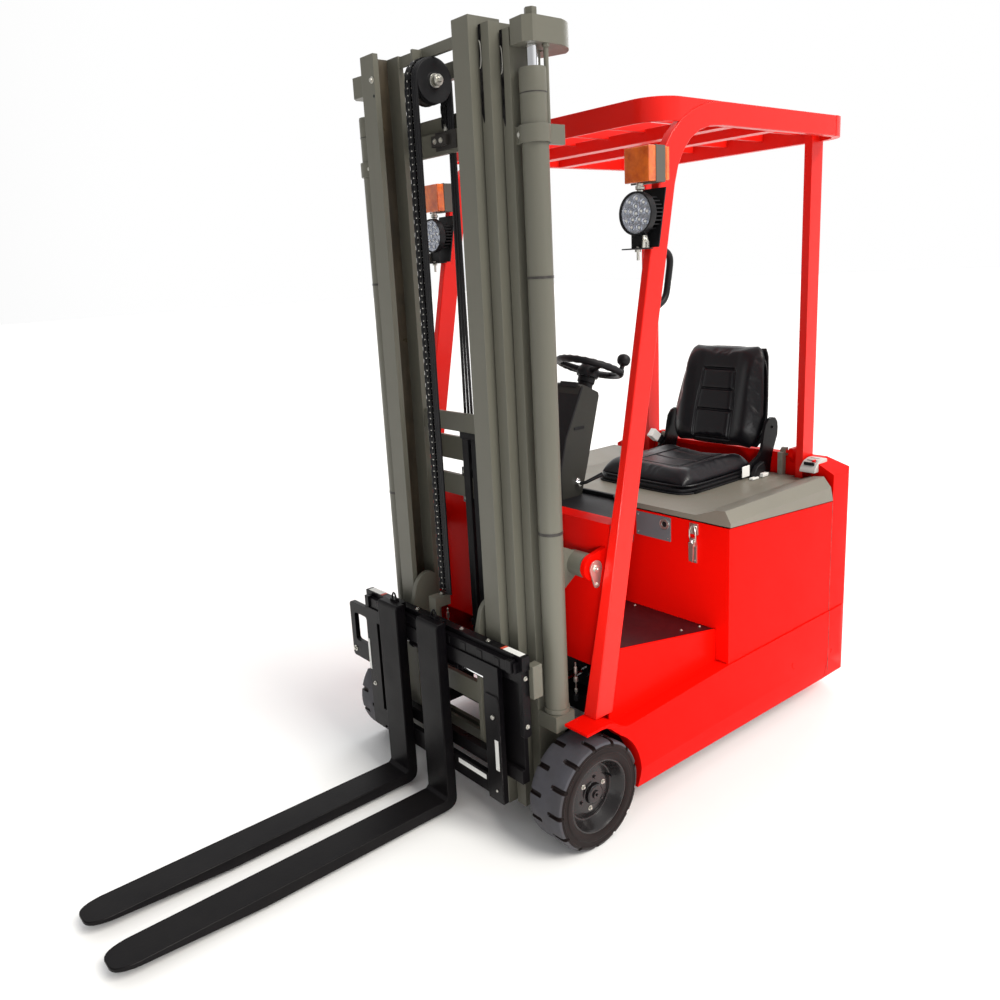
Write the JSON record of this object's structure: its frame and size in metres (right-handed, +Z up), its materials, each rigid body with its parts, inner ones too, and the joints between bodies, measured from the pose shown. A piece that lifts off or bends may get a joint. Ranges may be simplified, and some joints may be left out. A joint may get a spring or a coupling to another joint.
{
  "type": "electric counterbalance forklift",
  "caption": "Compact rider forklift: telescoping mast with forks on a side shifter, overhead guard, seat on a hinged hood and a steered drive wheel under the counterweight.",
  "frame": {"origin": "on the floor under the middle of the truck's overall box, fork tips to counterweight", "axes": "+Z up, the forks point along -Y and the truck's left side is +X"},
  "size_m": [1.088, 2.801, 2.385],
  "materials": {
    "body_red": "glossy",
    "mast_grey": "satin",
    "cover_grey": "satin",
    "black_paint": "satin",
    "black_plastic": "matte",
    "seat_vinyl": "satin",
    "tyre_rubber": "matte",
    "chromed_rod": "polished",
    "amber_lens": "glossy",
    "dark_iron": "matte",
    "battery_case": "matte",
    "floor_mat": "matte"
  },
  "bodies": {
    "truck": {"front_axle_frame": "black_paint", "chassis_frame": "black_paint", "battery": "battery_case", "body_side_left": "body_red", "body_side_right": "body_red", "kick_panel": "body_red", "floor_plate": "floor_mat", "front_cowl": "body_red", "counterweight": "body_red", "dash_console": "black_plastic", "steering_column": "black_plastic", "guard_side_left": "body_red", "guard_side_right": "body_red", "guard_roof": "body_red", "guard_rear": "body_red", "work_lamp_left": "black_plastic", "work_lamp_right": "black_plastic", "turn_signal_left": "amber_lens", "turn_signal_right": "amber_lens"},
    "front_wheel_left": {"front_tyre_left": "tyre_rubber", "front_rim_left": "black_paint"},
    "front_wheel_right": {"front_tyre_right": "tyre_rubber", "front_rim_right": "black_paint"},
    "drive_unit": {"drive_unit": "dark_iron"},
    "rear_wheel": {"rear_tyre": "tyre_rubber", "rear_rim": "black_paint"},
    "steering_wheel": {"steering_wheel": "black_plastic"},
    "hood": {"hood": "cover_grey", "seat_frame": "black_paint", "seat_cushion": "seat_vinyl", "seat_backrest": "seat_vinyl"},
    "outer_mast": {"outer_mast": "mast_grey", "lift_cylinder_left": "mast_grey", "lift_cylinder_right": "mast_grey"},
    "mid_mast": {"mid_mast": "mast_grey", "lift_rod_left": "chromed_rod", "lift_rod_right": "chromed_rod"},
    "inner_mast": {"inner_mast": "mast_grey", "chain_sheave": "dark_iron", "hose_sheave": "black_plastic", "lift_chain": "dark_iron"},
    "carriage": {"carriage_rollers": "mast_grey", "carriage_frame": "black_paint"},
    "side_shifter": {"side_shift_frame": "black_paint", "fork_left": "black_paint", "fork_right": "black_paint"},
    "tilt_barrel_left": {"tilt_cylinder_left": "black_paint"},
    "tilt_barrel_right": {"tilt_cylinder_right": "black_paint"},
    "tilt_ram_left": {"tilt_rod_left": "chromed_rod"},
    "tilt_ram_right": {"tilt_rod_right": "chromed_rod"}
  },
  "joints": [
    {"name": "front_wheel_left_spin", "type": "hinge", "parent": "truck", "child": "front_wheel_left", "pos_m": [0.475, -0.0895, 0.172], "axis": [1, 0, 0], "continuous": true},
    {"name": "front_wheel_right_spin", "type": "hinge", "parent": "truck", "child": "front_wheel_right", "pos_m": [-0.475, -0.0895, 0.172], "axis": [1, 0, 0], "continuous": true},
    {"name": "drive_steer", "type": "hinge", "parent": "truck", "child": "drive_unit", "pos_m": [0, 1.1405, 0.372], "axis": [0, 0, 1], "range_deg": [-85, 85]},
    {"name": "rear_wheel_spin", "type": "hinge", "parent": "drive_unit", "child": "rear_wheel", "pos_m": [0, 1.1405, 0.155], "axis": [1, 0, 0], "continuous": true},
    {"name": "steering_wheel_turn", "type": "hinge", "parent": "truck", "child": "steering_wheel", "pos_m": [0, 0.4785, 1.38], "axis": [0, 0.38, 0.925], "range_deg": [-700, 700]},
    {"name": "hood_lift", "type": "hinge", "parent": "truck", "child": "hood", "pos_m": [0, 1.2625, 0.975], "axis": [-1, 0, 0], "range_deg": [0, 45]},
    {"name": "mast_tilt", "type": "hinge", "parent": "truck", "child": "outer_mast", "pos_m": [0, 0.0165, 0.85], "axis": [1, 0, 0], "range_deg": [-5, 3]},
    {"name": "mast_lift", "type": "slide", "parent": "outer_mast", "child": "mid_mast", "axis": [0, 0, 1], "range_m": [0, 1.45]},
    {"name": "inner_mast_lift", "type": "slide", "parent": "mid_mast", "child": "inner_mast", "axis": [0, 0, 1], "range_m": [0, 1.45]},
    {"name": "carriage_lift", "type": "slide", "parent": "inner_mast", "child": "carriage", "axis": [0, 0, 1], "range_m": [0, 1.45], "deforming": ["lift_chain"]},
    {"name": "side_shift", "type": "slide", "parent": "carriage", "child": "side_shifter", "axis": [1, 0, 0], "range_m": [-0.038, 0.112]},
    {"name": "tilt_barrel_left_swing", "type": "hinge", "parent": "truck", "child": "tilt_barrel_left", "pos_m": [0.25, 0.4305, 0.43], "axis": [1, 0, 0], "range_deg": [-1.5, 1.5]},
    {"name": "tilt_ram_left_stroke", "type": "slide", "parent": "tilt_barrel_left", "child": "tilt_ram_left", "axis": [0, -0.9983, -0.0583], "range_m": [-0.03, 0.045]},
    {"name": "tilt_barrel_right_swing", "type": "hinge", "parent": "truck", "child": "tilt_barrel_right", "pos_m": [-0.25, 0.4305, 0.43], "axis": [1, 0, 0], "range_deg": [-1.5, 1.5]},
    {"name": "tilt_ram_right_stroke", "type": "slide", "parent": "tilt_barrel_right", "child": "tilt_ram_right", "axis": [0, -0.9983, -0.0583], "range_m": [-0.03, 0.045]}
  ],
  "couplings": [
    {"joint": "inner_mast_lift", "follows": "mast_lift", "ratio": 1},
    {"joint": "carriage_lift", "follows": "mast_lift", "ratio": 1},
    {"joint": "steering_wheel_turn", "follows": "drive_steer", "ratio": -8},
    {"joint": "tilt_barrel_left_swing", "follows": "mast_tilt", "ratio": 0.1},
    {"joint": "tilt_ram_left_stroke", "follows": "mast_tilt", "m_per_rad": -0.442},
    {"joint": "tilt_barrel_right_swing", "follows": "mast_tilt", "ratio": 0.1},
    {"joint": "tilt_ram_right_stroke", "follows": "mast_tilt", "m_per_rad": -0.442}
  ]
}
